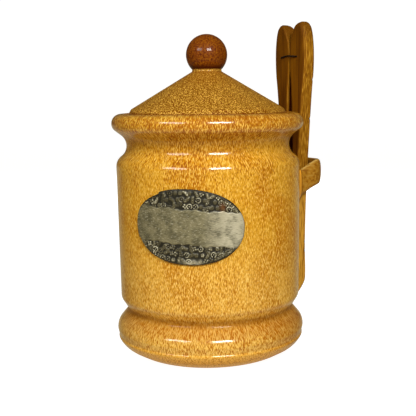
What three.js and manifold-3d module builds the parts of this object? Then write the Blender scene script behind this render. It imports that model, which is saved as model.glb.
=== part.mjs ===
import * as THREE from 'three';
import { mergeVertices } from 'three/addons/utils/BufferGeometryUtils.js';
import Module from 'manifold-3d';

// A glazed stoneware pickle jar, shut with its cone lid. An oval pewter badge is glued
// to the wall, and a pair of wooden tongs stands in a strap loop on the side.
// Millimetres, +Z up. The origin is the centre of the foot, and +X runs through the
// middle of the loop.

// Foot of the jar: a round bulge below a soft groove
const FOOT_BASE_RADIUS = 49.8;
const FOOT_BASE_ROUND = 16;
const FOOT_LOW_RADIUS = 62.3;
const FOOT_LOW_HEIGHT = 7.1;
const FOOT_LOW_ROUND = 16.5;
const FOOT_CREST_RADIUS = 67;
const FOOT_CREST_HEIGHT = 19;
const FOOT_CREST_ROUND = 11.6;
const GROOVE_RADIUS = 57.1;
const GROOVE_HEIGHT = 31.4;
const GROOVE_ROUND = 3.1;

// Body of the jar, a little wider at the shoulder
const BODY_LOW_RADIUS = 62.4;
const BODY_LOW_HEIGHT = 39.8;
const BODY_LOW_ROUND = 6;
const BODY_TOP_RADIUS = 63.4;
const BODY_TOP_HEIGHT = 134.6;
const BODY_TOP_ROUND = 8.5;

// Waisted neck and thick rim, with the recess that the lid sits in
const NECK_RADIUS = 50.4;
const NECK_HEIGHT = 144.6;
const NECK_ROUND = 9;
const RIM_RADIUS = 65.9;
const RIM_LOW_HEIGHT = 156.7;
const RIM_LOW_ROUND = 5.4;
const RIM_HEIGHT = 166.2;
const RIM_TOP_ROUND = 6.4;
const MOUTH_RADIUS = 54.6;
const MOUTH_ROUND = 1.2;
const SEAT_HEIGHT = 162;

// Lid: a cone with a low rounded edge, a short collar and a ball knob
const LID_RADIUS = 53.8;
const LID_EDGE_HEIGHT = 166.5;
const LID_EDGE_ROUND = 1.2;
const LID_CONE_RADIUS = 52.4;
const LID_CONE_HEIGHT = 169.1;
const LID_CONE_ROUND = 2.4;
const COLLAR_RADIUS = 10.2;
const COLLAR_HEIGHT = 194.2;
const COLLAR_ROUND = 0.8;
const KNOB_RADIUS = 14.1;
const KNOB_HEIGHT = 205.4;

// Strap loop, one piece with the wall. It climbs as it leaves the wall and levels off.
const LOOP_REACH = 89.6;
const LOOP_HALF_WIDTH = 16.6;
const LOOP_ROUND = 12;
const STRAP_THICKNESS = 5.2;
const STRAP_HEIGHT = 18.4;
const STRAP_EDGE_ROUND = 1.8;
const STRAP_ROOT_HEIGHT = 113.8;
const STRAP_CLIMB = 7.9;
const STRAP_CLIMB_START = 62;
const STRAP_CLIMB_END = 84;
const STRAP_STEP = 6;
const ROOT_DEPTH = 54;
const ROOT_FLARE = 6;
const ROOT_FLARE_ROUND = 7;

// Oval badge, bent to the wall
const BADGE_HALF_WIDTH = 36.5;
const BADGE_HALF_HEIGHT = 24.1;
const BADGE_THICKNESS = 1.8;
const BADGE_EDGE_ROUND = 0.6;
const BADGE_FULLNESS = 2.16;
const BADGE_HEIGHT = 96.4;
const BADGE_AZIMUTH = -130.4;
const BADGE_TILT = -2.3;

// Tongs: two arms sawn from one board, a fat head above and thin springy arms below.
// An edge is a list of [distance from the slit, height].
const BOARD_THICKNESS = 10;
const BOARD_FACE = 66.9;
const BOARD_TURN = 3;
const ARM_EDGE_ROUND = 1.2;
const HEAD_CONTACT_LOW = 203;
const HEAD_CONTACT_HIGH = 210.4;
const HEAD_EDGE = [
  [1.2, 216], [3.6, 221], [6.4, 225.5], [11.4, 228.7], [15.6, 225], [17.8, 218],
];
const ARM_OUTER_EDGE = [
  [18.4, 207], [17.8, 197], [15.4, 180], [11.8, 143], [8.7, 105], [7.1, 68], [7.5, 46.5], [6.6, 36],
];
const ARM_TIP = [2, 26];
const ARM_INNER_EDGE = [[2.4, 70], [3.4, 112], [3.5, 146], [2.1, 180]];
const TIP_BEVEL_HEIGHT = 39.5;
const TIP_BEVEL_SLOPE = 31;
const ARM_SLIP = 0.5;

// Wire staple that binds the two heads
const WIRE_DIAMETER = 1.1;
const WIRE_HALF_SPAN = 9.3;
const WIRE_LEG = 5;
const WIRE_BACK_HEIGHT = 204.3;
const WIRE_FRONT_HEIGHT = 204.8;
const WIRE_BEND = 2.3;
const WIRE_BEND_HEIGHT = 205.4;

// Gap between pieces that touch
const GAP = 0.3;

const TURN_SEGMENTS = 56;
const BADGE_SEGMENTS = 40;

const wasm = await Module();
wasm.setup();

// A list of corners [x, y, rounding] as points. A rounded corner becomes an arc, in more
// steps the wider it is.
function roundedOutline(corners) {
  const points = [];
  corners.forEach(([x, y, rounding], i) => {
    const corner = new THREE.Vector2(x, y);
    if (!rounding) {
      points.push(corner);
      return;
    }
    const [before, after] = [corners.at(i - 1), corners[(i + 1) % corners.length]]
      .map(([nextX, nextY]) => new THREE.Vector2(nextX, nextY).sub(corner).normalize());
    const half = before.angleTo(after) / 2;
    const start = before.clone().multiplyScalar(rounding / Math.tan(half));
    const centre = before.clone().add(after).normalize().multiplyScalar(rounding / Math.sin(half));
    const turn = Math.sign(before.cross(after)) * (2 * half - Math.PI);
    const spoke = start.sub(centre);
    const steps = Math.max(2, Math.round(Math.abs(turn) * Math.sqrt(rounding)));
    centre.add(corner);
    for (let k = 0; k <= steps; k += 1) {
      const angle = (turn * k) / steps;
      points.push(spoke.clone().rotateAround(new THREE.Vector2(), angle).add(centre));
    }
  });
  return points;
}

// An outline of [radius, height] turned about Z.
function turned(outline, segments = TURN_SEGMENTS) {
  return new THREE.LatheGeometry(outline, segments).rotateX(Math.PI / 2);
}

function toSolid(geometry) {
  const bare = geometry.clone();
  bare.deleteAttribute('normal');
  bare.deleteAttribute('uv');
  const welded = mergeVertices(bare, 1e-4);
  return new wasm.Manifold(new wasm.Mesh({
    numProp: 3,
    vertProperties: new Float32Array(welded.attributes.position.array),
    triVerts: new Uint32Array(welded.index.array),
  }));
}

function toGeometry(solid) {
  const { vertProperties, triVerts } = solid.getMesh();
  const geometry = new THREE.BufferGeometry();
  geometry.setAttribute('position', new THREE.BufferAttribute(vertProperties, 3));
  geometry.setIndex(new THREE.BufferAttribute(triVerts, 1));
  geometry.computeVertexNormals();
  return geometry;
}

// The jar is shut, so it is solid up to the seat of the lid.
function jarGeometry() {
  const body = turned(roundedOutline([
    [0, 0, 0],
    [FOOT_BASE_RADIUS, 0, FOOT_BASE_ROUND],
    [FOOT_LOW_RADIUS, FOOT_LOW_HEIGHT, FOOT_LOW_ROUND],
    [FOOT_CREST_RADIUS, FOOT_CREST_HEIGHT, FOOT_CREST_ROUND],
    [GROOVE_RADIUS, GROOVE_HEIGHT, GROOVE_ROUND],
    [BODY_LOW_RADIUS, BODY_LOW_HEIGHT, BODY_LOW_ROUND],
    [BODY_TOP_RADIUS, BODY_TOP_HEIGHT, BODY_TOP_ROUND],
    [NECK_RADIUS, NECK_HEIGHT, NECK_ROUND],
    [RIM_RADIUS, RIM_LOW_HEIGHT, RIM_LOW_ROUND],
    [RIM_RADIUS, RIM_HEIGHT, RIM_TOP_ROUND],
    [MOUTH_RADIUS, RIM_HEIGHT, MOUTH_ROUND],
    [MOUTH_RADIUS, SEAT_HEIGHT, 0],
    [0, SEAT_HEIGHT, 0],
  ]));
  return toGeometry(toSolid(body).add(toSolid(loopGeometry())));
}

// An outline with points added, so that no two neighbours are further apart than step.
function finer(outline, step) {
  return outline.flatMap((point, i) => {
    const next = outline[(i + 1) % outline.length];
    const parts = Math.ceil(point.distanceTo(next) / step);
    return Array.from({ length: parts }, (_, k) => point.clone().lerp(next, k / parts));
  });
}

// The strap in plan is a U that flares into the wall. It is drawn flat, given the strap's
// height with soft edges, and each point is then raised by its distance from the wall.
function loopGeometry() {
  const inside = LOOP_HALF_WIDTH - STRAP_THICKNESS;
  const reachInside = LOOP_REACH - STRAP_THICKNESS;
  const wallX = Math.sqrt(BODY_TOP_RADIUS ** 2 - LOOP_HALF_WIDTH ** 2);
  const insideRound = LOOP_ROUND - STRAP_THICKNESS;
  const plan = roundedOutline([
    [ROOT_DEPTH, -LOOP_HALF_WIDTH - ROOT_FLARE, 0],
    [wallX, -LOOP_HALF_WIDTH, ROOT_FLARE_ROUND],
    [LOOP_REACH, -LOOP_HALF_WIDTH, LOOP_ROUND],
    [LOOP_REACH, LOOP_HALF_WIDTH, LOOP_ROUND],
    [wallX, LOOP_HALF_WIDTH, ROOT_FLARE_ROUND],
    [ROOT_DEPTH, LOOP_HALF_WIDTH + ROOT_FLARE, 0],
    [ROOT_DEPTH, inside, 0],
    [reachInside, inside, insideRound],
    [reachInside, -inside, insideRound],
    [ROOT_DEPTH, -inside, 0],
  ]);
  const strap = new THREE.ExtrudeGeometry(new THREE.Shape(finer(plan, STRAP_STEP)), {
    depth: STRAP_HEIGHT - 2 * STRAP_EDGE_ROUND,
    bevelThickness: STRAP_EDGE_ROUND,
    bevelSize: STRAP_EDGE_ROUND,
    bevelOffset: -STRAP_EDGE_ROUND,
    bevelSegments: 2,
  });
  strap.translate(0, 0, STRAP_ROOT_HEIGHT + STRAP_EDGE_ROUND - STRAP_HEIGHT / 2);
  const { position } = strap.attributes;
  for (let i = 0; i < position.count; i += 1) {
    const way = THREE.MathUtils.smoothstep(position.getX(i), STRAP_CLIMB_START, STRAP_CLIMB_END);
    position.setZ(i, position.getZ(i) + STRAP_CLIMB * way);
  }
  return strap;
}

function lidGeometry() {
  const underside = SEAT_HEIGHT + GAP;
  const knobStart = -Math.acos(COLLAR_RADIUS / KNOB_RADIUS);
  const knob = new THREE.Path().absarc(0, KNOB_HEIGHT, KNOB_RADIUS, knobStart, Math.PI / 2, false);
  const outline = roundedOutline([
    [0, underside, 0],
    [LID_RADIUS, underside, LID_EDGE_ROUND],
    [LID_RADIUS, LID_EDGE_HEIGHT, LID_EDGE_ROUND],
    [LID_CONE_RADIUS, LID_CONE_HEIGHT, LID_CONE_ROUND],
    [COLLAR_RADIUS, COLLAR_HEIGHT, COLLAR_ROUND],
    [COLLAR_RADIUS, KNOB_HEIGHT + KNOB_RADIUS * Math.sin(knobStart), 0],
  ]);
  outline.pop();
  return turned([...outline, ...knob.getPoints(6)]);
}

// A round disc is pulled to the badge's oval, then bent onto the wall.
function badgeGeometry() {
  const rings = [0, 0.35, 0.7, 1];
  const edge = BADGE_EDGE_ROUND / BADGE_HALF_HEIGHT;
  const disc = turned([
    ...rings.map((ring) => new THREE.Vector2(ring, 0)),
    new THREE.Vector2(1, BADGE_THICKNESS - BADGE_EDGE_ROUND),
    new THREE.Vector2(1 - edge, BADGE_THICKNESS),
    ...rings.slice(0, -1).reverse().map((ring) => new THREE.Vector2(ring, BADGE_THICKNESS)),
  ], BADGE_SEGMENTS);
  const tilt = THREE.MathUtils.degToRad(BADGE_TILT);
  const azimuth = THREE.MathUtils.degToRad(BADGE_AZIMUTH);
  const { position } = disc.attributes;
  const point = new THREE.Vector2();
  for (let i = 0; i < position.count; i += 1) {
    point.set(position.getX(i), position.getY(i));
    const angle = point.angle();
    const fullness = (Math.abs(Math.cos(angle)) ** BADGE_FULLNESS
      + Math.abs(Math.sin(angle)) ** BADGE_FULLNESS) ** (-1 / BADGE_FULLNESS);
    point.multiplyScalar(fullness);
    point.set(point.x * BADGE_HALF_WIDTH, point.y * BADGE_HALF_HEIGHT);
    point.rotateAround(new THREE.Vector2(), tilt);
    const radius = BODY_TOP_RADIUS + GAP + position.getZ(i);
    const turn = azimuth + point.x / BODY_TOP_RADIUS;
    position.setXYZ(i, radius * Math.cos(turn), radius * Math.sin(turn), BADGE_HEIGHT + point.y);
  }
  return disc;
}

// Outline of one arm, seen square on to the board, with the slit on its left. The heads
// touch at the wire, the slit opens below it, and the tips close again.
function armOutline() {
  const points = (edge) => edge.map(([across, height]) => new THREE.Vector2(across, height));
  const contact = GAP / 2;
  const outline = new THREE.Shape();
  outline.moveTo(contact, HEAD_CONTACT_LOW);
  outline.lineTo(contact, HEAD_CONTACT_HIGH);
  outline.splineThru(points([...HEAD_EDGE, ...ARM_OUTER_EDGE, ARM_TIP]));
  outline.splineThru(points([...ARM_INNER_EDGE, [contact, HEAD_CONTACT_LOW]]));
  return outline;
}

// One arm, on the +Y side of the slit or on the -Y side, where it sits a little higher. Its tip
// is bevelled on the face away from the jar. The face towards the jar has the blind hole that a
// leg of the wire goes into.
function armGeometry(side, wireEndHeight) {
  const arm = new THREE.ExtrudeGeometry(armOutline(), {
    depth: BOARD_THICKNESS - 2 * ARM_EDGE_ROUND,
    bevelThickness: ARM_EDGE_ROUND,
    bevelSize: ARM_EDGE_ROUND,
    bevelOffset: -ARM_EDGE_ROUND,
    bevelSegments: 1,
    curveSegments: 2,
  });
  arm.translate(0, 0, ARM_EDGE_ROUND - BOARD_THICKNESS / 2);
  arm.rotateX(Math.PI / 2).rotateZ((side * Math.PI) / 2);
  arm.translate(0, 0, -side * ARM_SLIP);
  const holeRadius = WIRE_DIAMETER / 2 + GAP;
  const hole = new THREE.CylinderGeometry(holeRadius, holeRadius, 2 * (WIRE_LEG + GAP), 12);
  hole.rotateZ(Math.PI / 2);
  hole.translate(-BOARD_THICKNESS / 2, side * WIRE_HALF_SPAN, wireEndHeight);
  const slope = THREE.MathUtils.degToRad(TIP_BEVEL_SLOPE);
  const inward = new THREE.Vector3(-Math.cos(slope), 0, Math.sin(slope));
  const bevelTop = new THREE.Vector3(BOARD_THICKNESS / 2, 0, TIP_BEVEL_HEIGHT);
  const whole = toSolid(arm).subtract(toSolid(hole));
  return toGeometry(whole.trimByPlane(inward.toArray(), inward.dot(bevelTop)));
}

// The wire lies across the slit on the face towards the jar, a little bent, and both of its
// ends turn into the wood.
function wireGeometry() {
  const face = -BOARD_THICKNESS / 2;
  const proud = face - WIRE_DIAMETER / 2 - GAP;
  const path = new THREE.CatmullRomCurve3([
    new THREE.Vector3(face + WIRE_LEG, WIRE_HALF_SPAN, WIRE_BACK_HEIGHT),
    new THREE.Vector3(proud, WIRE_HALF_SPAN, WIRE_BACK_HEIGHT),
    new THREE.Vector3(proud, WIRE_BEND, WIRE_BEND_HEIGHT),
    new THREE.Vector3(proud, -WIRE_HALF_SPAN, WIRE_FRONT_HEIGHT),
    new THREE.Vector3(face + WIRE_LEG, -WIRE_HALF_SPAN, WIRE_FRONT_HEIGHT),
  ], false, 'catmullrom', 0.1);
  const section = new THREE.Shape().absarc(0, 0, WIRE_DIAMETER / 2, 0, 2 * Math.PI, false);
  return new THREE.ExtrudeGeometry(section, { extrudePath: path, steps: 28, curveSegments: 4 });
}

function piece(name, geometry, color, roughness, metalness) {
  const material = new THREE.MeshStandardMaterial({ color, roughness, metalness });
  const mesh = new THREE.Mesh(geometry, material);
  mesh.name = name;
  return mesh;
}

const tongs = new THREE.Group();
tongs.position.x = BOARD_FACE + BOARD_THICKNESS / 2;
tongs.rotation.z = THREE.MathUtils.degToRad(BOARD_TURN);
tongs.add(
  piece('tongs_arm_front', armGeometry(-1, WIRE_FRONT_HEIGHT), 0x8f6014, 0.55, 0),
  piece('tongs_arm_back', armGeometry(1, WIRE_BACK_HEIGHT), 0x8f6014, 0.55, 0),
  piece('tongs_wire', wireGeometry(), 0x241c14, 0.5, 0.9),
);

const pickleJar = new THREE.Group();
pickleJar.add(
  piece('jar', jarGeometry(), 0xc88f35, 0.2, 0),
  piece('lid', lidGeometry(), 0xbe8c36, 0.25, 0),
  piece('badge', badgeGeometry(), 0x6a685c, 0.45, 0.9),
  tongs,
);

export default pickleJar;
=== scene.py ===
from math import acos, cos, pi, radians, sin, sqrt, tan

import bmesh
import bpy
import numpy as np
from mathutils import Matrix, Vector, kdtree


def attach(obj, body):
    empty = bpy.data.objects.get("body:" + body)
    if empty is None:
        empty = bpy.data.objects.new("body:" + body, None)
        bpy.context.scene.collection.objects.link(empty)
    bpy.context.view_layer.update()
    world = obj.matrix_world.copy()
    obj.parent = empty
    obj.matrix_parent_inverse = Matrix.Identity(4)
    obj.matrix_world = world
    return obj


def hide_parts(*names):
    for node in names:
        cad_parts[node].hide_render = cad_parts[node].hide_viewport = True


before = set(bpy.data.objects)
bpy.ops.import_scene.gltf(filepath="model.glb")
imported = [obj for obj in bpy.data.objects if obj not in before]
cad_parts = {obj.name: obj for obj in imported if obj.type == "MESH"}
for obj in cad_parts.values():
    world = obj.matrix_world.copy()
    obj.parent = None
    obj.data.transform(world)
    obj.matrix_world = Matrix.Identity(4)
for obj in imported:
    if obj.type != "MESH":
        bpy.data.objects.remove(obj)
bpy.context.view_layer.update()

# Jar: stoneware thrown on the wheel from foot to rim, with a recess in the rim that the lid
# sits in. A strap of clay is luted to the wall as a loop for the tongs, and the whole is
# dipped in one honey glaze, which runs down the wall and pools in the hollows. The browns
# in the hollows, creases and seams are partly that pooling and partly painted shade.
mm = 0.001
seat_height = 162
body_radius = 63.4
jar_corners = [
    # radius, height, rounding
    (0, 0, 0),
    (49.8, 0, 16),
    (62.3, 7.1, 15),
    (64.98, 12.2, 1.6),
    (64.35, 13.25, 0.6),
    (65.45, 18, 4),
    (64.85, 22.3, 9),
    (57.1, 31.4, 3.1),
    (62.4, 39.8, 6),
    (body_radius, 134.6, 8.5),
    (50.4, 144.6, 9),
    (65.9, 156.7, 5.4),
    (65.9, 166.2, 6.4),
    (54.6, 166.2, 1.2),
    (54.6, seat_height, 0),
    (0, seat_height, 0),
]
jar_step = 1.3
least_arc_steps = 6


def rounded(corners, step):
    """The points of an open line, about a step apart or closer, with an arc at each rounding."""
    points = []
    for i, (x, y, rounding) in enumerate(corners):
        corner = complex(x, y)
        if not rounding:
            points.append(corner)
            continue
        before = complex(*corners[i - 1][:2]) - corner
        after = complex(*corners[i + 1][:2]) - corner
        before /= abs(before)
        after /= abs(after)
        half = acos((before * after.conjugate()).real) / 2
        middle = (before + after) / abs(before + after) * rounding / sin(half)
        spoke = before * rounding / tan(half) - middle
        turn = np.sign((before.conjugate() * after).imag) * (2 * half - pi)
        arc_steps = max(least_arc_steps, round(abs(turn) * rounding / step))
        arc = np.exp(1j * turn * np.arange(arc_steps + 1) / arc_steps)
        points.extend(corner + middle + spoke * arc)
    finer = []
    for start, end in zip(points, points[1:]):
        parts = max(1, round(abs(end - start) / step))
        finer.extend(start + (end - start) * np.arange(parts) / parts)
    finer.append(points[-1])
    return np.array([(point.real, point.imag) for point in finer])


def new_piece(name, points, faces):
    """A smooth mesh object from points in millimetres."""
    mesh = bpy.data.meshes.new(name)
    mesh.from_pydata(np.asarray(points) * mm, [], faces)
    shape = bmesh.new()
    shape.from_mesh(mesh)
    bmesh.ops.recalc_face_normals(shape, faces=shape.faces)
    shape.to_mesh(mesh)
    shape.free()
    mesh.shade_smooth()
    piece = bpy.data.objects.new(name, mesh)
    bpy.context.collection.objects.link(piece)
    return piece


def lofted(name, rings):
    """A closed piece through rings that have the same number of points, flat at both ends."""
    rings = np.asarray(rings)
    count, size = rings.shape[:2]
    corners = np.arange(count * size).reshape(count, size)
    ahead = np.roll(corners, -1, axis=1)
    faces = np.stack([corners[:-1], ahead[:-1], ahead[1:], corners[1:]], axis=-1)
    ends = [corners[0].tolist(), corners[-1].tolist()]
    return new_piece(name, rings.reshape(-1, 3), faces.reshape(-1, 4).tolist() + ends)


def turned(name, outline, turns):
    """An outline of radius and height, turned about the axis of the jar."""
    off_axis = outline[outline[:, 0] > 0]
    ring = np.stack([np.cos(turns), np.sin(turns)], axis=-1)
    return lofted(name, [np.column_stack([ring * radius, np.full(len(turns), height)])
                         for radius, height in off_axis])


# The steps of the turn are finer where the strap joins the wall.
strap_turn = 24
fine_turn, coarse_turn = 0.8, 1.95
turns = np.radians(np.concatenate([
    np.arange(-strap_turn, strap_turn, fine_turn),
    np.arange(strap_turn, 360 - strap_turn, coarse_turn)]))
jar = turned("jar", rounded(jar_corners, jar_step), turns)

loop_reach = 89.6
loop_half_width = 16.6
loop_round = 12
strap_thickness = 5.2
strap_height = 18.4
strap_squareness = 2.6
strap_points = 40
strap_root_height = 113.8
strap_climb = 7.9
climb_start, climb_end = 62, 84
root_depth = 56
flare_reach = 70
flare_length = 8
flare_side, flare_up, flare_down = 4, 1.2, 8


def swept(name, path, sections):
    """A closed piece along a path. Each section is drawn across the path and upright."""
    along = np.gradient(path, axis=0)
    side = np.stack([along[:, 1], -along[:, 0]], axis=-1)
    side /= np.linalg.norm(side, axis=1, keepdims=True)
    rings = []
    for point, across, section in zip(path, side, sections):
        ring = np.repeat(point[None], len(section), axis=0)
        ring[:, :2] += section[:, :1] * across
        ring[:, 2] += section[:, 1]
        rings.append(ring)
    return lofted(name, rings)


strap_middle = loop_half_width - strap_thickness / 2
reach_middle = loop_reach - strap_thickness / 2
middle_round = loop_round - strap_thickness / 2
strap_plan = rounded([
    (root_depth, -strap_middle, 0),
    (reach_middle, -strap_middle, middle_round),
    (reach_middle, strap_middle, middle_round),
    (root_depth, strap_middle, 0),
], jar_step)
climbed = np.clip((strap_plan[:, 0] - climb_start) / (climb_end - climb_start), 0, 1)
strap_line = np.column_stack([
    strap_plan, strap_root_height + strap_climb * climbed ** 2 * (3 - 2 * climbed)])
strap_turns = np.linspace(0, 2 * pi, strap_points, endpoint=False)
strap_side, strap_up = np.cos(strap_turns), np.sin(strap_turns)
fullness = (abs(strap_side) ** strap_squareness
            + abs(strap_up) ** strap_squareness) ** (-1 / strap_squareness)
strap_sections = []
for reach in strap_plan[:, 0]:
    flare = np.clip((flare_reach - reach) / flare_length, 0, 1) ** 2
    half_width = strap_thickness / 2 + flare_side * flare
    half_height = strap_height / 2 + np.where(strap_up > 0, flare_up, flare_down) * flare
    strap_sections.append(np.column_stack([
        half_width * fullness * strap_side, half_height * fullness * strap_up]))
strap = swept("strap", strap_line, strap_sections)


def join(piece, other):
    """Makes one body of two that overlap."""
    union = piece.modifiers.new("union", "BOOLEAN")
    union.operation = "UNION"
    union.solver = "EXACT"
    union.object = other
    depsgraph = bpy.context.evaluated_depsgraph_get()
    piece.data = bpy.data.meshes.new_from_object(piece.evaluated_get(depsgraph))
    piece.modifiers.clear()
    bpy.data.objects.remove(other)


def soften_crease(piece, inner_reach, top, reach, rounds):
    """Smooths the inner corner of a joint, below a top and out to a reach, in millimetres."""
    sharpest = -radians(24)
    pull, plateau = 0.6, 1.6
    shape = bmesh.new()
    shape.from_mesh(piece.data)
    bmesh.ops.triangulate(shape, faces=[face for face in shape.faces if len(face.verts) > 4])
    crease = {vert for edge in shape.edges if edge.calc_face_angle_signed(0) < sharpest
              for vert in edge.verts if vert.co.z < top * mm and vert.co.x > inner_reach * mm}
    tree = kdtree.KDTree(len(crease))
    for i, vert in enumerate(crease):
        tree.insert(vert.co, i)
    tree.balance()
    near = {vert: 1 - tree.find(vert.co)[2] / (reach * mm) for vert in shape.verts}
    near = {vert: share for vert, share in near.items() if share > 0}
    for _ in range(rounds):
        moved = {vert: sum((edge.other_vert(vert).co for edge in vert.link_edges), Vector())
                 / len(vert.link_edges) for vert in near}
        for vert, middle in moved.items():
            vert.co = vert.co.lerp(middle, pull * min(1, plateau * near[vert]))
    shape.to_mesh(piece.data)
    shape.free()
    piece.data.shade_smooth()


join(jar, strap)
soften_crease(jar, inner_reach=0.8 * body_radius, top=136, reach=4.5, rounds=24)


class Socket:
    """A node's output in plain arithmetic: each operator adds the Math node that works it out."""

    def __init__(self, output):
        self.output = output
        self.tree = output.id_data

    def node(self, kind, settings=None, inputs=None, output=0):
        """Adds a node, sets it up, and gives back one of its outputs."""
        node = self.tree.nodes.new("ShaderNode" + kind)
        for name, value in (settings or {}).items():
            setattr(node, name, value)
        for name, value in (inputs or {}).items():
            if isinstance(value, Socket):
                value.feed(node.inputs[name])
            else:
                node.inputs[name].default_value = value
        return Socket(node.outputs[output])

    def feed(self, entry):
        self.tree.links.new(self.output, entry)

    def math(self, operation, first, second):
        return self.node("Math", {"operation": operation}, {0: first, 1: second})

    def __add__(self, other):
        return self.math("ADD", self, other)

    __radd__ = __add__

    def __mul__(self, other):
        return self.math("MULTIPLY", self, other)

    __rmul__ = __mul__

    def __sub__(self, other):
        return self.math("SUBTRACT", self, other)

    def __rsub__(self, other):
        return self.math("SUBTRACT", other, self)

    def between(self, off, on):
        """0 up to one value, 1 from the other on, smooth in between. The first can be the higher."""
        return self.node("MapRange", {"interpolation_type": "SMOOTHSTEP"},
                         {"Value": self, "From Min": off, "From Max": on})

    def near(self, centre, reach):
        """1 at a value, falling to 0 at a reach on both sides of it."""
        return 1 - self.math("ABSOLUTE", self - centre, 0).between(0, reach)

    def swing(self):
        """How far noise is from its middle."""
        return self - 0.5

    def mix(self, off, on):
        """A colour between two, by this value."""
        return self.node("Mix", {"data_type": "RGBA"}, {0: self, 6: off, 7: on}, 2)

    def stretched(self, *scale):
        """Vectors scaled along each axis."""
        return self.node("VectorMath", {"operation": "MULTIPLY"}, {0: self, 1: scale})

    def along(self, direction):
        """How far vectors go in a direction."""
        return self.node("VectorMath", {"operation": "DOT_PRODUCT"}, {0: self, 1: direction}, 1)

    def length(self):
        return self.node("VectorMath", {"operation": "LENGTH"}, {0: self}, 1)

    def part(self, axis):
        return self.node("SeparateXYZ", {}, {"Vector": self}, axis)

    def noise(self, size, detail):
        """Noise with features of a size, at these places."""
        return self.node("TexNoise", {}, {"Vector": self, "Scale": 1 / size, "Detail": detail})

    def bump(self, strength, depth):
        """The surface's normal with this value as its height, over a depth in millimetres."""
        return self.node("Bump", {}, {"Height": self, "Strength": strength, "Distance": depth * mm})


def colour(red, green, blue):
    """A colour as on a screen, from 0 to 255, in the linear light that shaders use."""
    return (*(((part / 255 + 0.055) / 1.055) ** 2.4 for part in (red, green, blue)), 1.0)


def layered(tone, *layers):
    """A colour with others laid over it in turn, each by its own share."""
    for share, over in layers:
        tone = share.mix(tone, over)
    return tone


def new_material(piece, name):
    """A material on a piece, with its shader and the place on the piece in millimetres."""
    material = bpy.data.materials.new(name)
    material.use_nodes = True
    tree = material.node_tree
    piece.data.materials.clear()
    piece.data.materials.append(material)
    place = Socket(tree.nodes.new("ShaderNodeTexCoord").outputs["Object"])
    return tree.nodes["Principled BSDF"].inputs, place.stretched(1 / mm, 1 / mm, 1 / mm)


gold = colour(216, 156, 34)
amber = colour(204, 138, 16)
peach = colour(232, 176, 72)
pale_gold = colour(250, 214, 120)
sunny_gold = colour(250, 210, 102)
fleck_brown = colour(142, 72, 2)
rust = colour(172, 99, 8)
foot_orange = colour(255, 178, 20)
brown = colour(126, 76, 4)
dull_brown = colour(150, 102, 26)
root_gold = colour(230, 158, 44)
bare_clay = colour(206, 178, 140)

shader, place = new_material(jar, "honey_glaze")
height = place.part(2)
level = place.stretched(1, 1, 0)
radius = level.length()
photo_right = (0.87, -0.49, 0)
loop_side = place.along(photo_right)
upward = place.node("NewGeometry", output=1).part(2)

# Zones of the jar, by height and by distance from the axis.
under = height.between(0.6, 0.2)
foot_low = height.between(16, 6)
on_foot = height.between(31, 26)
cove = height.near(26.5, 7)
groove = height.near(31.8, 4.4)
low_wall = height.between(100, 48)
high_wall = height.between(104, 140)
hollow = height.near(147.4, 9.4)
on_rim = height.between(150, 156)
rim_edge = on_rim * radius.between(59, 57)
on_root = radius.between(64, 64.6) * height.near(112, 26).between(0, 0.2)
root_line = on_root * radius.near(69, 0.8)
on_loop = radius.between(68.5, 69.2)
inside_loop = (on_loop * place.part(0).between(87, 85.6)
               * place.part(1).near(0, 14.5).between(0.02, 0.12))

# The glaze breaks into fine runs, and into dots low on the foot.
outward = level.node("VectorMath", {"operation": "NORMALIZE"}, {0: level})
unrolled = place.node("VectorMath", {"operation": "MULTIPLY_ADD"},
                      {0: outward, 1: (body_radius,) * 3, 2: place.stretched(0, 0, 0.23)})
runs = unrolled.noise(0.48, 1.5)
dots = place.noise(0.78, 1.5)
blots = place.stretched(1, 1, 0.55).noise(1.2, 1.5)
clouds = place.stretched(1, 1, 0.6).noise(24, 2)
grain = dots + height.between(6, 17) * (runs - dots)
grain = grain + (on_foot + on_rim * 0.5) * grain.swing()
pale = grain.between(0.53, 0.65) * (0.75 + 0.15 * low_wall - 0.3 * on_foot - 0.1 * on_rim)
flecks = (grain - 0.2 * clouds.swing()).between(0.475, 0.36)
layered(
    (low_wall * 0.7).mix(gold, peach),
    (clouds.between(0.45, 0.62) * (1 - low_wall * 0.6), amber),
    (pale, low_wall.mix(sunny_gold, pale_gold)),
    (flecks * 0.9, rust),
    (flecks * high_wall * 0.7, fleck_brown),
    (on_rim * blots.between(0.52, 0.4) * 0.7, rust),
    (cove * (0.38 + 0.62 * flecks), rust),
    (foot_low * 0.6, foot_orange),
    (foot_low * flecks * 0.7, rust),
    (on_foot * loop_side.between(30, 62) * 0.35, rust),
    (on_foot * loop_side.between(-40, -62) * 0.15, pale_gold),
    # Painted shade: the top-facing part of the rim is dulled to brown.
    (on_rim * upward.between(0.5, 0.95) * 0.2, dull_brown),
    # Painted shade along the rim's inner edge, in the seam where the lid sits.
    (rim_edge * 0.6, rust),
    # The groove above the foot and the hollow under the rim are browned, partly as pooled glaze and
    # partly as painted shade.
    (groove * (0.55 + 0.45 * flecks), rust),
    (groove * (0.4 + 0.5 * flecks), brown),
    (hollow * (0.4 + 0.6 * flecks), brown),
    # Painted light: the flare of the strap's root is a brighter gold.
    (on_root * (1 - on_loop), root_gold),
    (on_loop * 0.8, dull_brown),
    (on_loop * flecks * 0.6, brown),
    # Painted light: the upward-facing top of the loop is paler.
    (on_loop * upward.between(0.35, 0.9) * (0.5 - 0.4 * flecks), pale_gold),
    # The crease where the root's flare meets the strap's face is browned, partly as pooled glaze and
    # partly as painted shade.
    (root_line * 0.8, brown),
    # The inner faces of the loop are browned, partly as thinner glaze and partly as painted shade.
    (inside_loop * 0.8, brown),
    (under, bare_clay),
).feed(shader["Base Color"])

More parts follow.
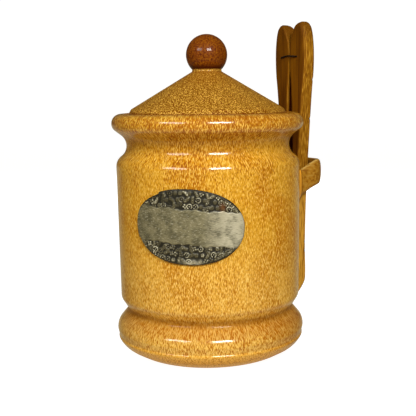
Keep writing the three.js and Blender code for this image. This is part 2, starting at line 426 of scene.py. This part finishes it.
gloss = 1 - under
for zone, loss in ((height.near(32, 6.5), 0.9), (hollow, 0.6), (rim_edge, 0.7), (on_loop, 0.6),
                   (height.between(10, 6), 0.6)):
    gloss = gloss * (1 - zone * loss)
gloss.feed(shader["Coat Weight"])
shader["Coat Roughness"].default_value = 0.13
shader["Specular IOR Level"].default_value = 0.06
(0.5 + dots * 0.1).feed(shader["Roughness"])
ripples = place.noise(5, 1)
ripples.bump(strength=0.1, depth=0.3).feed(shader["Normal"])
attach(jar, "root")
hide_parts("jar")

# Lid: thrown upside down as a low cone with a ball for a knob, under the same glaze, which
# is thicker and browner on the knob. It only rests in the recess of the rim.
lid_gap = 0.3
lid_radius = 53.8
lid_edge_height = 166.5
collar_radius = 10.2
collar_foot = 194.2
knob_radius = 14.1
knob_height = 205.4
knob_points = 36
collar_top = knob_height - sqrt(knob_radius ** 2 - collar_radius ** 2)
lid_line = rounded([
    # radius, height, rounding
    (0, seat_height + lid_gap, 0),
    (lid_radius, seat_height + lid_gap, 1),
    (lid_radius, lid_edge_height, 1.4),
    (52.4, 169.1, 2.4),
    (collar_radius, collar_foot, 0.8),
    (collar_radius - 0.2, collar_top - 0.3, 0),
], jar_step)
knob_turns = np.linspace(-acos(collar_radius / knob_radius), pi / 2, knob_points)
knob_line = np.column_stack([
    knob_radius * np.cos(knob_turns), knob_height + knob_radius * np.sin(knob_turns)])
lid = turned("lid", np.concatenate([lid_line, knob_line[:-1]]), turns)

lid_gold = colour(147, 100, 16)
lid_pale = colour(236, 184, 80)
lid_brown = colour(108, 44, 2)
knob_gold = colour(142, 82, 6)
knob_brown = colour(120, 58, 4)
knob_dark = colour(74, 24, 2)

shader, place = new_material(lid, "speckled_glaze")
height = place.part(2)
dots = place.noise(0.76, 1.5)
blots = place.noise(1.05, 2)
on_edge = height.between(lid_edge_height + 0.9, lid_edge_height - 0.9)
on_collar = height.between(collar_foot - 0.3, collar_foot + 0.5)
on_knob = height.between(collar_top - 0.2, collar_top + 0.5)
cone_top = height.between(180, 192) * (1 - on_collar)
cone_tone = layered(
    (dots.between(0.53, 0.61) * 0.9).mix(lid_gold, lid_pale),
    (dots.between(0.48, 0.39) * 0.9, lid_brown),
    (on_collar * 0.22, lid_pale),
    # The crease where the collar meets the cone is browned, partly as pooled glaze and partly as
    # painted shade.
    (height.near(collar_foot - 0.5, 0.8) * 0.4, lid_brown),
    # Painted shade on the lid's lower edge, down in the recess of the rim.
    (on_edge, lid_brown),
    (cone_top * 0.4, knob_gold),
)
knob_tone = layered(
    blots.between(0.5, 0.68).mix(knob_brown, knob_gold),
    (blots.between(0.5, 0.34) * 0.8, knob_dark),
    # Painted shade: a dark ring under the ball of the knob, where it meets the collar.
    (height.near(collar_top + 0.6, 3.4), knob_dark),
)
on_knob.mix(cone_tone, knob_tone).feed(shader["Base Color"])
(0.4 + dots * 0.1).feed(shader["Roughness"])
shader["Specular IOR Level"].default_value = 0.06
(on_collar * 0.32).feed(shader["Coat Weight"])
shader["Coat Roughness"].default_value = 0.06
ripples = place.noise(5, 1)
ripples.bump(strength=0.08, depth=0.3).feed(shader["Normal"])
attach(lid, "root")
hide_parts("lid")

# Badge: a thin oval cast in pewter with garlands in relief above and below a plain field.
# It is bent to the wall and glued on. The hollows have gone black, the high spots are worn.
badge_half_width = 36.5
badge_half_height = 24.1
badge_fullness = 2.16
badge_height = 96.4
badge_turn = radians(-130.4)
badge_tilt = radians(-2.3)
badge_ground = 1.05
badge_relief = 0.85
badge_gap = 0.3
edge_share = 0.35
edge_rounding = 1.1
edge_dark = 0.7
chip_start, chip_end = radians(121), radians(150)
chip_step, chip_slope = 0.04, 0.4
chip_depth = 0.035
columns, rows = 271, 179
least_share = 0.05

# A grid over the flat badge: a square pressed into a disc, and the disc stretched to the oval.
side_x, side_y = np.meshgrid(np.linspace(-1, 1, columns), np.linspace(-1, 1, rows), indexing="ij")
disc_x = side_x * np.sqrt(1 - side_y ** 2 / 2)
disc_y = side_y * np.sqrt(1 - side_x ** 2 / 2)
disc_turn = np.arctan2(disc_y, disc_x)
oval = (abs(np.cos(disc_turn)) ** badge_fullness
        + abs(np.sin(disc_turn)) ** badge_fullness) ** (-1 / badge_fullness)
chipped = (np.clip((disc_turn - chip_start) / chip_step, 0, 1)
           * np.clip((chip_end - disc_turn) / chip_slope, 0, 1))
oval *= 1 - chip_depth * chipped
across = disc_x * oval * badge_half_width
up = disc_y * oval * badge_half_height
from_middle = np.hypot(disc_x, disc_y)
from_edge = (1 - from_middle) * np.hypot(across, up) / np.maximum(from_middle, least_share)


def seen_along(at, direction):
    """How far the points of the badge are along and to the side of a line through a place."""
    shift_x, shift_y = across - at[0], up - at[1]
    return (shift_x * cos(direction) + shift_y * sin(direction),
            shift_y * cos(direction) - shift_x * sin(direction))


def ball(at, radius, ribs=0):
    """The height, from 0 to 1, of half a ball, with ribs from top to bottom if asked for."""
    rib_pace = 9
    along, side = seen_along(at, 0)
    body = np.sqrt(np.clip(1 - (along ** 2 + side ** 2) / radius ** 2, 0, 1))
    waves = np.cos(rib_pace * along / np.maximum(radius * (0.4 + body), 0.1))
    return body * (1 - ribs * (0.5 + 0.5 * waves))


def leaf(at, direction):
    """The height, from 0 to 1, of a pointed leaf with a sunk midrib and veins."""
    length, width, midrib = 4, 0.95, 0.25
    vein_pace, vein_slant = 3.4, 4
    along, side = seen_along(at, direction)
    share = np.clip(along / length, 0, 1)
    half = np.maximum(width * np.sin(pi * share ** 0.8), 0.01)
    body = np.sqrt(np.clip(1 - (side / half) ** 2, 0, 1))
    veins = 0.8 + 0.2 * np.cos(along * vein_pace - abs(side) * vein_slant)
    return body * (1 - 0.6 * np.exp(-(side / midrib) ** 2)) * veins


# The motifs of the garlands. Each gives its height, from 0 to 1, at every point of the badge.
def gherkin(at, direction):
    """A fat bent pod with round ends and warts."""
    length, radius = 3.0, 1.15
    bend, wart_pace = 0.035, 3.6
    along, side = seen_along(at, direction)
    side = side + bend * along ** 2
    past = np.maximum(abs(along) - length / 2, 0)
    body = np.sqrt(np.clip(1 - (past ** 2 + side ** 2) / radius ** 2, 0, 1))
    return body * (0.85 + 0.15 * np.cos(along * wart_pace) * np.cos(side * wart_pace))


def berry(at, _direction):
    """A ribbed ball, the same from every direction."""
    radius, ribs = 1.5, 0.4
    return ball(at, radius, ribs)


def blossom(at, direction):
    """Four small balls round a place."""
    petals, radius = 4, 0.72
    spots = 2 * pi * np.arange(petals) / petals + direction
    return np.max([ball((at[0] + cos(turn), at[1] + sin(turn)), radius) for turn in spots], axis=0)


def tendril(at, direction):
    """A thin round stem that curls almost to a ring, with a bud inside."""
    reach, radius, curl_end = 1.5, 0.42, 2.4
    bud = 1.4 * radius
    along, side = seen_along(at, direction)
    off_ring = np.hypot(along, side) - reach
    stem = np.sqrt(np.clip(1 - (off_ring / radius) ** 2, 0, 1))
    return np.maximum(stem * (np.arctan2(side, along) < curl_end), ball(at, bud))


def sprig(at, direction):
    """Three leaves from one place."""
    spread = 1.1
    return np.max([leaf(at, direction + turn) for turn in (-spread, 0, spread)], axis=0)


field_half = 11
field_fade = 0.7
field_level = 0.5
bare_edge, bare_fade = 0.5, 0.9
motifs = (gherkin, berry, blossom, tendril, sprig)
motif_spacing = 3.4
motif_rows = (0.18, 0.5, 0.82)
motif_scatter = 0.5
lowest_motif = 0.45
garland_half = 32
draw = np.random.default_rng(11)
relief = np.zeros_like(across)
for band in (1, -1):
    for x in np.arange(-garland_half, garland_half + 1, motif_spacing):
        outline_share = (1 - abs(x / badge_half_width) ** badge_fullness) ** (1 / badge_fullness)
        room = badge_half_height * outline_share - field_half
        for row, share in enumerate(motif_rows):
            staggered = x + motif_spacing / 2 * (row % 2)
            scatter = draw.uniform(-motif_scatter, motif_scatter)
            at = (staggered + scatter, band * (field_half + room * share))
            direction = draw.uniform(0, 2 * pi)
            motif = motifs[draw.integers(0, len(motifs))]
            relief = np.maximum(relief, motif(at, direction) * draw.uniform(lowest_motif, 1))


def field_edge(height, long_wave, short_wave):
    """An uneven edge of the field. Each wave has a pace and a start."""
    slope = 0.03
    long_swing, short_swing = 0.4, 0.3
    return (height - slope * across + long_swing * np.sin(across * long_wave[0] + long_wave[1])
            + short_swing * np.sin(across * short_wave[0] + short_wave[1]))


field_top = field_edge(field_half, (0.37, 0), (1.1, 2))
field_low = field_edge(-field_half, (0.31, 1), (0.9, 0))
plain = (np.clip((field_top - up) / field_fade + 0.5, 0, 1)
         * np.clip((up - field_low) / field_fade + 0.5, 0, 1))
relief *= np.clip((from_edge - bare_edge) / bare_fade, 0, 1)
relief = np.maximum(relief * (1 - plain), field_level * plain)
edge_round = np.sqrt(1 - (1 - np.clip(from_edge / edge_rounding, 0, 1)) ** 2)
thickness = badge_ground * (edge_share + (1 - edge_share) * edge_round) + badge_relief * relief


def spot(x, y, reach_x, reach_y):
    """1 at a place on the badge, fading out around it."""
    return np.exp(-((across - x) / reach_x) ** 2 - ((up - y) / reach_y) ** 2)


# Painted reflection: the field is brightened towards its right, as a sheen. A bright spot is also
# laid near the lower edge.
sheen_start, sheen_fade, sheen_share = 10, 16, 0.65
sheen_and_bright_spot = (np.clip((across - sheen_start) / sheen_fade, 0, 1) * plain * sheen_share
          + spot(4, -22.6, 5, 1.6) * (from_edge > bare_edge))
stain = spot(22, 13.6, 1.8, 2.4)


def on_wall_of_jar(lift):
    """The points of the badge bent to the wall of the jar, at a lift off it."""
    turned_x = across * cos(badge_tilt) - up * sin(badge_tilt)
    turned_y = across * sin(badge_tilt) + up * cos(badge_tilt)
    angle = badge_turn + turned_x / body_radius
    radius = body_radius + lift
    points = [radius * np.cos(angle), radius * np.sin(angle), badge_height + turned_y]
    return np.stack(points, axis=-1).reshape(-1, 3)


# The front is the grid. The back has only the points of the outline, joined in upright strips.
index = np.arange(columns * rows).reshape(columns, rows)
faces = np.stack([index[:-1, :-1], index[1:, :-1], index[1:, 1:], index[:-1, 1:]], axis=-1)
rim = np.concatenate([index[:-1, 0], index[-1, :-1], index[:0:-1, -1], index[0, :0:-1]])
back_index = columns * rows + np.arange(len(rim))
walls = np.stack([rim, back_index, np.roll(back_index, -1), np.roll(rim, -1)], axis=-1)
back_of = dict(zip(rim.tolist(), back_index.tolist()))
half_rows = rows // 2
low_half = [*index[0, half_rows::-1], *index[1:-1, 0], *index[-1, :half_rows + 1]]
top_half = [*index[0, half_rows:], *index[1:-1, -1], *index[-1, :half_rows - 1:-1]]
strips = []
for low, low_next, top, top_next in zip(low_half, low_half[1:], top_half, top_half[1:]):
    strips.append(list(dict.fromkeys(back_of[i] for i in (low, low_next, top_next, top))))
front = on_wall_of_jar(badge_gap + thickness)
back = on_wall_of_jar(badge_gap)[rim]
badge = new_piece("badge", np.concatenate([front, back]),
                  faces.reshape(-1, 4).tolist() + walls.tolist() + strips)


def mark(piece, name, values):
    """Writes a value at each point of a piece, for its material to read."""
    layer = piece.data.attributes.new(name, "FLOAT", "POINT")
    layer.data.foreach_set("value", np.asarray(values, np.float32))


def marked(place, name):
    """The value that mark wrote under a name."""
    return place.node("Attribute", {"attribute_name": name}, output=2)


unmarked_back = np.zeros(len(rim))
for name, values in (("worn", relief), ("field", plain), ("sheen_and_bright_spot", sheen_and_bright_spot), ("stain", stain),
                     ("inside", np.clip(from_edge / edge_dark, 0, 1))):
    mark(badge, name, np.concatenate([values.ravel(), unmarked_back]))

pewter_black = colour(36, 34, 23)
pewter_dull = colour(88, 82, 58)
pewter_crest = colour(192, 187, 160)
field_dull = colour(92, 88, 64)
field_grey = colour(136, 129, 97)
pewter_bright = colour(222, 216, 190)
rust_stain = colour(112, 64, 14)

shader, place = new_material(badge, "old_pewter")
worn = marked(place, "worn")
cloud = place.noise(6, 4)
grit = place.noise(0.9, 2)
scratches = place.stretched(1, 1, 7).noise(2.4, 3)
brushed = place.stretched(1, 1, 3.5).noise(1.5, 3)
relief_tone = layered(
    (worn + 0.8 * grit.swing()).between(0.04, 0.5).mix(pewter_black, pewter_dull),
    ((worn + 1.2 * grit.swing()).between(0.58, 0.9), pewter_crest),
)
field_tone = layered(
    (cloud + 0.8 * scratches.swing()).between(0.32, 0.62).mix(field_dull, field_grey),
    (brushed.between(0.56, 0.72) * 0.5, pewter_bright),
    (brushed.between(0.44, 0.28) * 0.6, pewter_dull),
)
face_tone = layered(
    marked(place, "field").mix(relief_tone, field_tone),
    # Painted reflection on the right of the field, and the bright spot near the lower edge.
    (marked(place, "sheen_and_bright_spot") * (cloud + 0.7 * scratches).between(0.5, 1), pewter_bright),
    (marked(place, "stain") * 0.8, rust_stain),
)
# Painted shade: the badge goes black along its outline, within edge_dark of the edge.
marked(place, "inside").mix(pewter_black, face_tone).feed(shader["Base Color"])
shader["Metallic"].default_value = 0.3
(0.36 + cloud * 0.2).feed(shader["Roughness"])
(scratches + grit * 0.5).bump(strength=0.25, depth=0.15).feed(shader["Normal"])
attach(badge, "root")
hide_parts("badge")

# Tongs: two mirrored arms sawn from one beech board, rounded by hand, with fat heads that
# touch and thin arms that spring apart. They only stand in the loop, wedged by their taper.
half_board = 5
board_middle = 71.9
board_turn = radians(3)
arm_slip = 0.5
head_touch = 0.15
tip_height = 25.6
tip_end = 34
tip_step, arm_step, edge_step = 0.6, 1, 0.5
dome_points = 12
dome_start, dome_top = 224.4, 228.6
crest_half = 1.4
outer_edge = [
    # distance from the middle of the slit, height
    (3.2, tip_height), (5.4, 30), (6.8, 37), (7.5, 46.5), (7.1, 68), (8.7, 105), (11.8, 143),
    (15.4, 180), (17.8, 197), (18.5, 208), (18.1, 216), (16.7, 222.4), (14.4, 226.8),
    (11.7, dome_top),
]
slit_edge = [
    # distance from the middle of the slit, height
    (2.4, tip_height), (1.5, 28), (1.4, 33), (2.4, 70), (3.4, 112), (3.5, 146), (2.1, 180),
    (head_touch, 203), (head_touch, 210.4), (1.2, 216), (3.6, 221), (5.8, 224.8), (8.4, 227.5),
    (11.3, dome_top),
]
bevel_line = [
    # distance from the middle of the board, height
    (-3.4, tip_height), (-0.9, 30), (2.6, 35.5), (4.6, 39.5), (half_board, 43), (half_board, 60),
]
outer_round, head_round, slit_round = 1.8, 3.6, 1.1
head_start, head_length = 190, 25
most_round = 0.45
nick_reach = 0.9
nick_from, nick_to = 0.2, 1.4
slit_light, slit_fade = 1, 1.4
slit_top, slit_top_fade = 206, 10
slit_broad = 0.55


def box_section(low, high, roundings):
    """A rounded rectangle, and which way each of its points faces."""
    side_shares = np.array([[0.06], [0.2], [0.4], [0.6], [0.8], [0.94]])
    arc_shares = np.linspace(0, 1, 7)
    arcs = []
    for quarter, rounding in enumerate(roundings):
        x = high[0] - rounding if quarter in (0, 3) else low[0] + rounding
        y = high[1] - rounding if quarter in (0, 1) else low[1] + rounding
        angles = pi / 2 * (quarter + arc_shares)
        arcs.append(np.column_stack([
            x + rounding * np.cos(angles), y + rounding * np.sin(angles), angles]))
    ring = []
    for arc, following in zip(arcs, arcs[1:] + arcs[:1]):
        side = arc[-1] + side_shares * (following[0] - arc[-1])
        side[:, 2] = arc[-1, 2]
        ring.extend([arc, side])
    ring = np.concatenate(ring)
    return ring[:, :2], ring[:, 2]


def curved(points, step):
    """A smooth open line through points, about a step apart."""
    points = np.asarray(points, float)
    padded = np.concatenate([[2 * points[0] - points[1]], points, [2 * points[-1] - points[-2]]])
    line = []
    for before, start, end, after in zip(padded, padded[1:], padded[2:], padded[3:]):
        reach = np.linalg.norm(end - start)
        out = (end - before) * reach / (np.linalg.norm(start - before) + reach)
        into = (after - start) * reach / (np.linalg.norm(after - end) + reach)
        for t in np.arange(0, 1, 1 / max(2, round(reach / step))):
            line.append(start * (2 * t ** 3 - 3 * t ** 2 + 1) + out * (t ** 3 - 2 * t ** 2 + t)
                        + end * (3 * t ** 2 - 2 * t ** 3) + into * (t ** 3 - t ** 2))
    return np.array([*line, points[-1]])


tongs_place = Matrix.Translation((board_middle, 0, 0)) @ Matrix.Rotation(board_turn, 4, "Z")


def standing(points):
    """Points on the tongs' own board, moved to where the tongs stand."""
    turn = np.array(tongs_place.to_3x3())
    return points @ turn.T + np.array(tongs_place.translation)


def tong_arm(name, side, nicks):
    """One arm, in level sections from its tip to its head, with small nicks in its outer corner."""
    dome = dome_start + (dome_top - dome_start) * np.sin(np.linspace(0, pi / 2, dome_points))
    heights = np.concatenate([
        np.arange(tip_height, tip_end, tip_step), np.arange(tip_end, dome_start, arm_step), dome])
    edges = []
    for points in (outer_edge, slit_edge, bevel_line):
        line = curved(points, edge_step)
        edges.append(np.interp(heights, line[:, 1], line[:, 0]))
    rings = []
    marks = []
    for height, outer, slit, bevel in zip(heights, *edges):
        domed = np.clip((height - dome_start) / (dome_top - dome_start), 0, 1)
        half = crest_half + (half_board - crest_half) * sqrt(1 - domed ** 2)
        away = min(half, bevel)
        nick = sum(np.exp(-((height - at) / nick_reach) ** 2) for at in nicks)
        most = most_round * min(outer - slit, away + half)
        on_head = np.clip((height - head_start) / head_length, 0, 1)
        outer_corner = outer_round + (head_round - outer_round) * on_head
        roundings = [min(most, outer_corner + nick), min(most, outer_corner),
                     min(most, slit_round), min(most, slit_round)]
        section, facing = box_section((-half, slit), (away, outer), roundings)
        rings.append(np.column_stack([
            section[:, 0], side * section[:, 1], np.full(len(section), height - side * arm_slip)]))
        at_corner = (facing > nick_from) & (facing < nick_to)
        # Painted shade: the slit face darkens past slit_light from the front face, where the other
        # arm shades it, and less towards the top of the slit.
        deep = np.clip((section[:, 0] + half - slit_light) / slit_fade, 0, 1)
        open_slit = np.clip((slit_top - height) / slit_top_fade, 0, 1)
        shaded_slit = np.clip(-np.sin(facing), 0, 1) ** 4 * deep * open_slit
        broad = np.maximum(np.cos(facing) ** 2, slit_broad * (np.sin(facing) < 0))
        marks.append(np.stack([broad, shaded_slit, nick * at_corner], axis=-1))
    arm = lofted(name, standing(np.array(rings)))
    for layer, values in zip(("broad", "shaded_slit", "nicked"), np.concatenate(marks).T):
        mark(arm, layer, values)
    return arm


beech = colour(152, 103, 17)
beech_dark = colour(110, 62, 6)
beech_light = colour(206, 153, 53)
face_brown = colour(130, 80, 5)
face_dark = colour(98, 55, 3)
face_line = colour(76, 38, 2)
slit_shade = colour(74, 26, 5)
nick_black = colour(52, 24, 4)


def beech_wood(piece):
    """Beech grained along the arm: broad faces brown (the wood and painted shade), narrow ones
    paler.
    """
    shader, place = new_material(piece, piece.name + "_beech")
    height = place.part(2)
    fibres = place.stretched(1, 1, 0.02).noise(0.7, 3)
    dashes = place.stretched(1, 1, 0.06).noise(0.6, 1)
    bands = place.stretched(1, 1, 0.08).noise(8, 2)
    streak = (bands + 0.8 * fibres.swing()).between(0.3, 0.72)
    narrow_tone = layered(
        height.between(118, 96).mix(beech, beech_light),
        ((1 - streak) * 0.3, beech_dark),
        (dashes.between(0.5, 0.36) * 0.8, beech_dark),
        (dashes.between(0.54, 0.68) * 0.6, beech_light),
    )
    broad_tone = layered(
        streak.mix(face_dark, face_brown),
        (fibres.between(0.5, 0.36) * 0.5, face_line),
    )
    layered(
        narrow_tone,
        # The broad faces are browner, partly the wood's own tone and partly painted shade.
        (marked(place, "broad").between(0.2, 0.9), broad_tone),
        (height.between(210, 227) * 0.75, face_dark),
        # Painted shade deep in the slit.
        (marked(place, "shaded_slit").between(0.3, 0.9), slit_shade),
        (marked(place, "nicked").between(0.2, 0.8), nick_black),
    ).feed(shader["Base Color"])
    shader["Specular IOR Level"].default_value = 0.05
    (0.5 + 0.2 * fibres).feed(shader["Roughness"])
    (fibres + dashes).bump(strength=0.3, depth=0.15).feed(shader["Normal"])


arms = [
    # name, side of the slit, heights of the nicks
    ("tongs_arm_front", -1, (188, 160, 69, 62.5)),
    ("tongs_arm_back", 1, (174, 92)),
]
for name, side, nicks in arms:
    arm = tong_arm(name, side, nicks)
    beech_wood(arm)
    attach(arm, "root")
    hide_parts(name)

# Wire: a staple of dark iron across the slit binds the two heads. Its legs are driven into
# the wood.
wire_radius = 0.55
wire_half_span = 9.3
wire_leg = 2.5
wire_bend = 0.6
wire_step = 0.4
wire_points = 12
wire_stand = 0.8
wire_back, wire_crest, wire_front = 204.3, 205.4, 204.8
crest_shift = 2.3
wire_face = -half_board - wire_radius * wire_stand
wire_line = curved([
    # off the middle of the board, along the staple, height
    (wire_face + wire_leg, wire_half_span, wire_back),
    (wire_face, wire_half_span - wire_bend, wire_back),
    (wire_face, crest_shift, wire_crest),
    (wire_face, -wire_half_span + wire_bend, wire_front),
    (wire_face + wire_leg, -wire_half_span, wire_front),
], wire_step)
wire_turns = np.linspace(0, 2 * pi, wire_points, endpoint=False)
wire_section = wire_radius * np.column_stack([np.cos(wire_turns), np.sin(wire_turns)])
wire = swept("tongs_wire", standing(wire_line), [wire_section] * len(wire_line))
iron = colour(30, 20, 14)
iron_rust = colour(60, 34, 18)
shader, place = new_material(wire, "dark_iron")
rusty = place.noise(1.2, 3)
rusty.between(0.45, 0.7).mix(iron, iron_rust).feed(shader["Base Color"])
rusty.between(0.7, 0.4).feed(shader["Metallic"])
(0.4 + 0.4 * rusty).feed(shader["Roughness"])
rusty.bump(strength=0.3, depth=0.05).feed(shader["Normal"])
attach(wire, "root")
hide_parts("tongs_wire")

# Studio: a pale floor that curves up all round, two soft windows of light in front, and one
# behind that lights the far side and gives no gloss. The sky is dim, and brighter in front of
# the jar, below it and low behind it, where the paper throws light back.
floor_radius = 2600
floor_side = 2400
floor_bend = 900
floor_edge = 10
floor_depth = 20
floor_gap = 0.2
floor_step = 60
floor_points = 96
floor_line = rounded([
    # radius, height, rounding
    (0, 0, 0),
    (floor_radius, 0, floor_bend),
    (floor_radius, floor_side, 0),
    (floor_radius + floor_edge, floor_side, 0),
    (floor_radius + floor_edge, -floor_depth, 0),
    (0, -floor_depth, 0),
], floor_step)
floor = turned("floor", floor_line, np.linspace(0, 2 * pi, floor_points, endpoint=False))
floor.location.z = -floor_gap * mm
shader, _ = new_material(floor, "pale_paper")
shader["Base Color"].default_value = (0.3, 0.3, 0.3, 1)
shader["Roughness"].default_value = 0.9
shader["Specular IOR Level"].default_value = 0
shader["Emission Color"].default_value = (1, 1, 1, 1)
shader["Emission Strength"].default_value = 0.95
floor.visible_diffuse = False
floor.visible_glossy = False

# The windows stand round the jar as the photo sees it. Their measures are in metres.
photo_turn = Matrix.Rotation(radians(-29.5), 4, "Z")
window_target = Vector((0, 0, 0.1))
window_distance = 1.3
window_height = 0.28


def window(name, turn, rise, width, power):
    """A soft rectangular light, seen from the jar at a turn to the right and a rise."""
    light = bpy.data.lights.new(name, "AREA")
    light.shape = "RECTANGLE"
    light.size = width
    light.size_y = window_height
    light.energy = power
    lamp = bpy.data.objects.new(name, light)
    away = photo_turn @ Vector((sin(turn) * cos(rise), -cos(turn) * cos(rise), sin(rise)))
    lamp.location = window_target + away * window_distance
    lamp.rotation_euler = away.to_track_quat("Z", "Y").to_euler()
    bpy.context.collection.objects.link(lamp)
    return lamp


window("window_right", turn=radians(17), rise=radians(32), width=0.5, power=14.2)
window("window_left", turn=radians(-42), rise=radians(31), width=0.62, power=5.4)
far_side = window("window_behind", turn=radians(175), rise=radians(12), width=0.9, power=9)
far_side.visible_glossy = False

sky_light, front_light, paper_light, behind_light = 0.1, 0.14, 0.65, 0.36
world = bpy.data.worlds.new("sky")
world.use_nodes = True
way = Socket(world.node_tree.nodes.new("ShaderNodeTexCoord").outputs["Generated"])
forward = way.along(photo_turn @ Vector((0, -1, 0)))
in_front = forward.between(-0.2, 0.7)
paper = way.part(2).between(-0.25, -0.8)
paper_behind = forward.between(-0.6, -0.95) * way.part(2).between(0, -0.08)
brightness = (sky_light + front_light * in_front + paper_light * paper
              + behind_light * paper_behind)
background = world.node_tree.nodes["Background"].inputs
background["Color"].default_value = (1, 0.84, 0.52, 1)
brightness.feed(background["Strength"])
bpy.context.scene.world = world
bpy.context.scene.view_settings.view_transform = "Standard"

# Camera: where the photograph was taken from.
picture_size = 416
focal_pixels = 840
middle_offset = 27.5
camera_place = Vector((18.56, -582.69, 180.5))
camera_fall = radians(7.9)
camera_roll = radians(-0.65)
camera_data = bpy.data.cameras.new("camera")
camera_data.sensor_width = 36
camera_data.lens = focal_pixels / picture_size * camera_data.sensor_width
camera_data.shift_x = -middle_offset / picture_size
camera = bpy.data.objects.new("camera", camera_data)
camera.matrix_world = (
    photo_turn @ Matrix.Translation(camera_place * mm)
    @ Matrix.Rotation(pi / 2 - camera_fall, 4, "X") @ Matrix.Rotation(camera_roll, 4, "Z"))
bpy.context.collection.objects.link(camera)
bpy.context.scene.camera = camera
